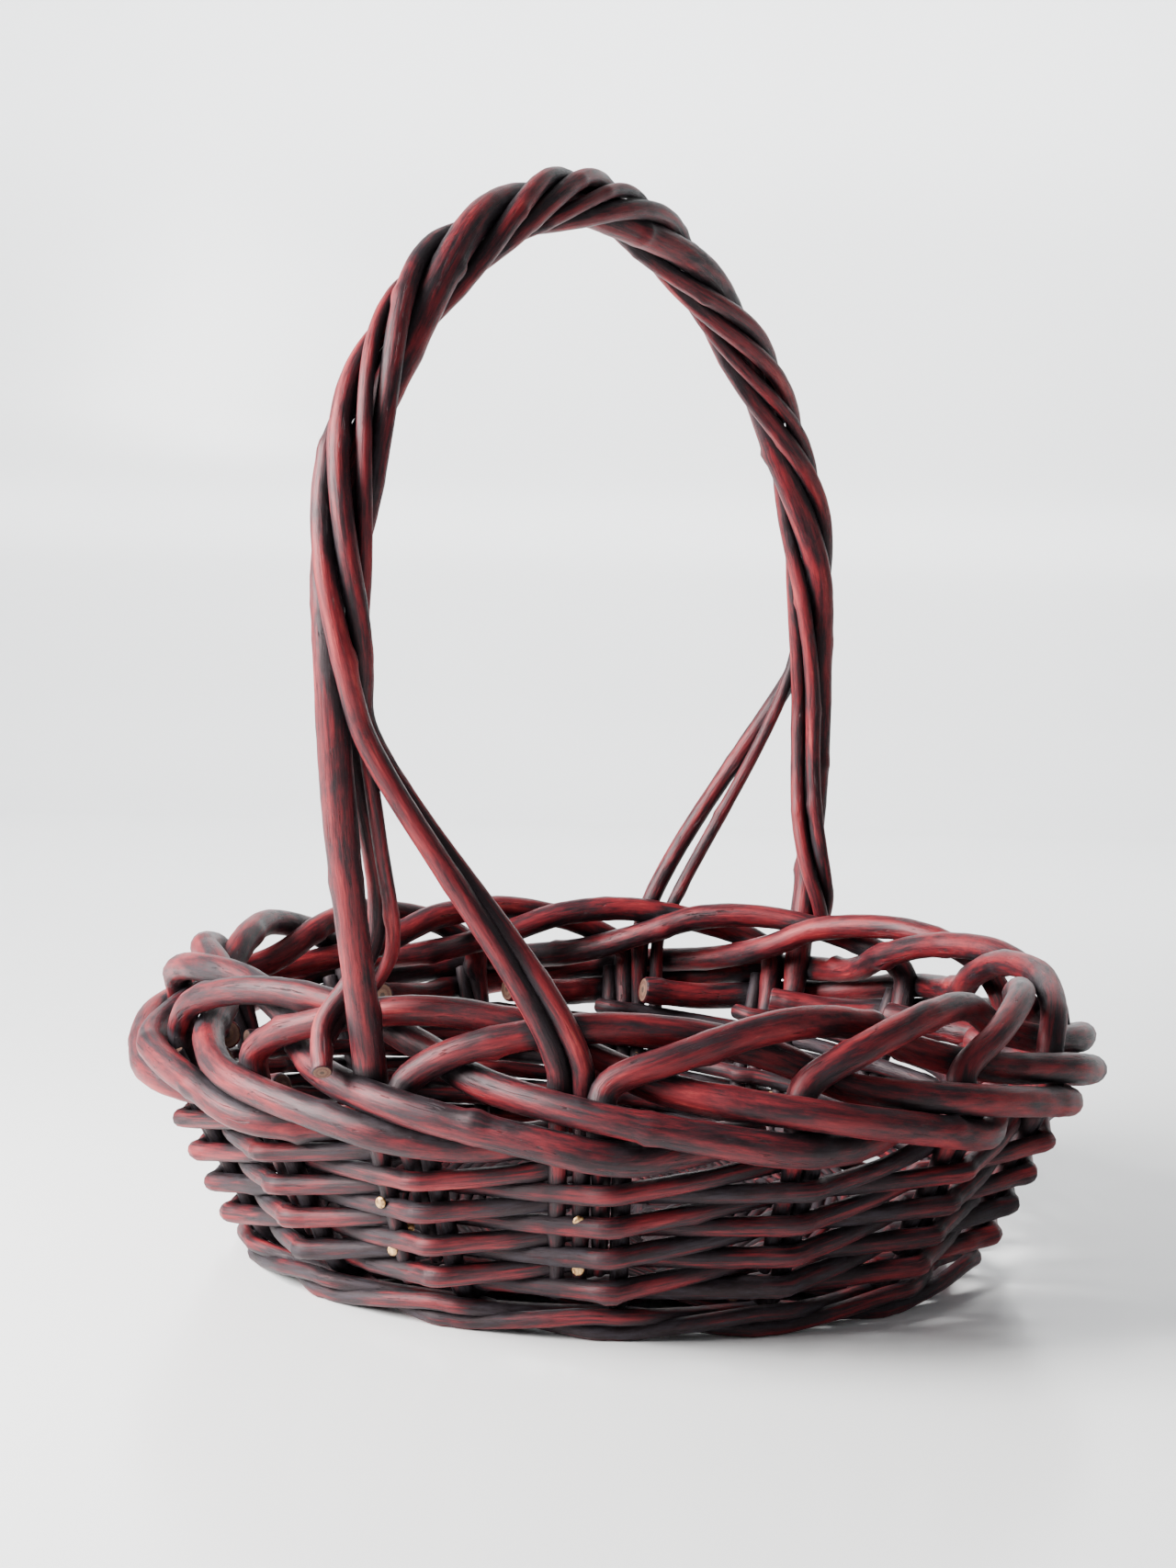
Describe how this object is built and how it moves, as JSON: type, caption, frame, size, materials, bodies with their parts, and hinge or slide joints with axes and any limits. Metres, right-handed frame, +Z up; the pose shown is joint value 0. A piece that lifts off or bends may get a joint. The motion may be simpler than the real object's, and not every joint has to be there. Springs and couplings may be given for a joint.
{
  "type": "wicker handle basket",
  "caption": "Round stained-willow basket with a flared open-weave wall, a thick rolled rod border, a woven base and a tall fixed arched handle of twisted rods, nailed at its feet.",
  "frame": {"origin": "centre of the round base, on the flat surface that the basket stands on", "axes": "+Z up; -Y towards the side the basket is usually seen from; +X to the right of that side. The handle's plane is upright and turned about 62 degrees anticlockwise from +X, seen from above."},
  "size_m": [0.3956, 0.3956, 0.4316],
  "materials": {
    "red_rod": "satin burgundy stain over dark glaze",
    "dark_rod": "satin black-brown glaze over burgundy stain",
    "handle_rod": "satin burgundy stain, rubbed bright on the ridges",
    "base_rod": "satin dark burgundy stain",
    "nail": "dull"
  },
  "bodies": {
    "root": {"stake_01": "dark_rod", "stake_02": "dark_rod", "stake_03": "dark_rod", "stake_04": "dark_rod", "stake_05": "dark_rod", "stake_06": "dark_rod", "stake_07": "dark_rod", "stake_08": "dark_rod", "stake_09": "dark_rod", "stake_10": "dark_rod", "stake_11": "dark_rod", "stake_12": "dark_rod", "stake_13": "dark_rod", "stake_14": "dark_rod", "stake_15": "dark_rod", "stake_16": "dark_rod", "border_rod_01": "red_rod", "border_rod_02": "red_rod", "border_rod_03": "red_rod", "border_rod_04": "red_rod", "border_rod_05": "red_rod", "border_rod_06": "red_rod", "border_rod_07": "red_rod", "border_rod_08": "red_rod", "border_rod_09": "red_rod", "border_rod_10": "red_rod", "border_rod_11": "red_rod", "border_rod_12": "red_rod", "border_rod_13": "red_rod", "border_rod_14": "red_rod", "border_rod_15": "red_rod", "border_rod_16": "red_rod", "side_weaver_01": "dark_rod", "side_weaver_02": "red_rod", "side_weaver_03": "red_rod", "side_weaver_04": "dark_rod", "side_weaver_05": "red_rod", "side_weaver_06": "red_rod", "side_weaver_07": "dark_rod", "side_weaver_08": "red_rod", "side_weaver_09": "red_rod", "side_weaver_10": "dark_rod", "side_weaver_11": "red_rod", "side_weaver_12": "red_rod", "side_weaver_13": "dark_rod", "side_weaver_14": "red_rod", "side_weaver_15": "red_rod", "side_weaver_16": "dark_rod", "wale_rod_01": "dark_rod", "wale_rod_02": "dark_rod", "wale_rod_03": "dark_rod", "handle_bow": "handle_rod", "wrap_rod_a1": "handle_rod", "wrap_rod_a2": "handle_rod", "wrap_rod_b1": "handle_rod", "wrap_rod_b2": "handle_rod", "slit_sticks": "base_rod", "through_sticks": "base_rod", "base_weave": "base_rod", "nails": "nail"}
  },
  "joints": []
}
